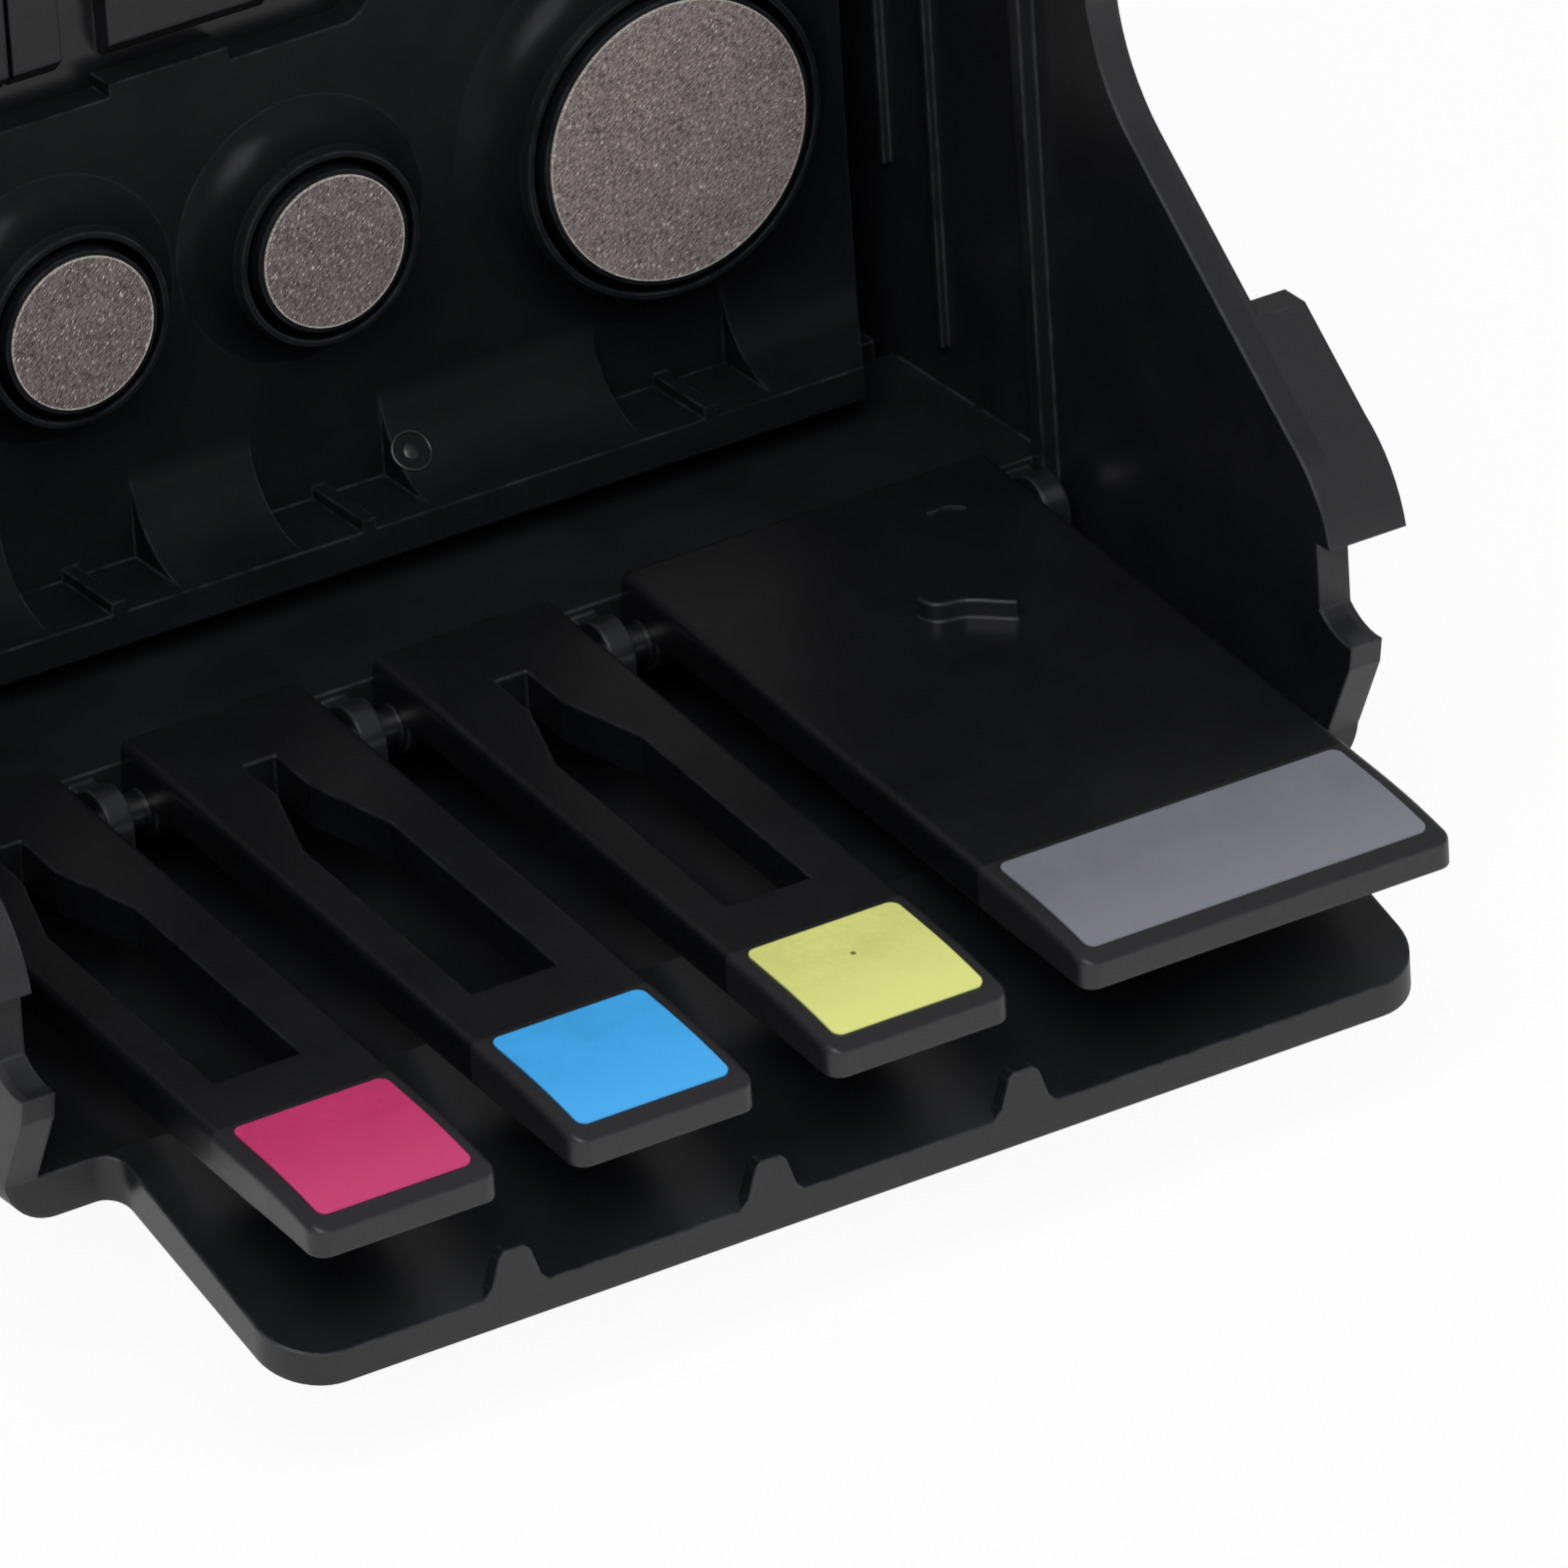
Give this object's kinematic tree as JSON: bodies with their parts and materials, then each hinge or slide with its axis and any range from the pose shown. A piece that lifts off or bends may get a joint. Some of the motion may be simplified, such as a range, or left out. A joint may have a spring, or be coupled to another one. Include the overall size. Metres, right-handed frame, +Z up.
{
  "type": "inkjet printhead",
  "caption": "Inkjet printhead for separate ink tanks: open black basket with filtered ink ports on a back wall, sprung release levers with coloured labels and a nozzle snout below.",
  "frame": {"origin": "middle of the bounding box at the height of the nozzle snout's lower face", "axes": "+X to the right seen from the levers, -Y towards the lever tips, +Z up away from the nozzles"},
  "size_m": [0.092, 0.076, 0.072],
  "materials": {
    "black_plastic": "fine matte moulding texture",
    "lever_plastic": "satin moulding",
    "filter_mesh": "warm grey sintered mesh",
    "label_magenta": "satin film",
    "label_cyan": "satin film",
    "label_yellow": "satin film",
    "label_grey": "satin film",
    "carrier_plastic": "matte moulding",
    "gold_contact": "gold plate",
    "silicon": "polished silicon",
    "ceramic": "fired ceramic",
    "flex_film": "amber film",
    "circuit_board": "solder mask",
    "screw_steel": "zinc plate"
  },
  "bodies": {
    "basket": {"frame": "black_plastic", "port_plate": "black_plastic", "manifold": "black_plastic", "contact_carrier_color": "carrier_plastic", "contact_carrier_black": "carrier_plastic", "filter_magenta": "filter_mesh", "filter_cyan": "filter_mesh", "filter_yellow": "filter_mesh", "filter_black": "filter_mesh", "contacts_magenta": "gold_contact", "contacts_cyan": "gold_contact", "contacts_yellow": "gold_contact", "contacts_black": "gold_contact", "nozzle_carrier": "ceramic", "nozzle_chip_black": "silicon", "nozzle_chip_color": "silicon", "flex_circuit": "flex_film", "contact_board": "circuit_board", "contact_pads": "gold_contact", "rear_cover": "black_plastic", "screws": "screw_steel"},
    "magenta_lever": {"lever_magenta": "lever_plastic", "label_magenta": "label_magenta"},
    "cyan_lever": {"lever_cyan": "lever_plastic", "label_cyan": "label_cyan"},
    "yellow_lever": {"lever_yellow": "lever_plastic", "label_yellow": "label_yellow"},
    "black_lever": {"lever_black": "lever_plastic", "label_black": "label_grey"}
  },
  "joints": [
    {"name": "magenta_lever_press", "type": "hinge", "parent": "basket", "child": "magenta_lever", "pos_m": [-0.0294, 0.0064, 0.0189], "axis": [1, 0, 0], "range_deg": [0, 5], "stiffness_Nm_per_rad": 1.5},
    {"name": "cyan_lever_press", "type": "hinge", "parent": "basket", "child": "cyan_lever", "pos_m": [-0.0134, 0.0064, 0.0189], "axis": [1, 0, 0], "range_deg": [0, 5], "stiffness_Nm_per_rad": 1.5},
    {"name": "yellow_lever_press", "type": "hinge", "parent": "basket", "child": "yellow_lever", "pos_m": [0.0026, 0.0064, 0.0189], "axis": [1, 0, 0], "range_deg": [0, 5], "stiffness_Nm_per_rad": 1.5},
    {"name": "black_lever_press", "type": "hinge", "parent": "basket", "child": "black_lever", "pos_m": [0.0248, 0.0064, 0.0189], "axis": [1, 0, 0], "range_deg": [0, 5], "stiffness_Nm_per_rad": 1.5}
  ]
}
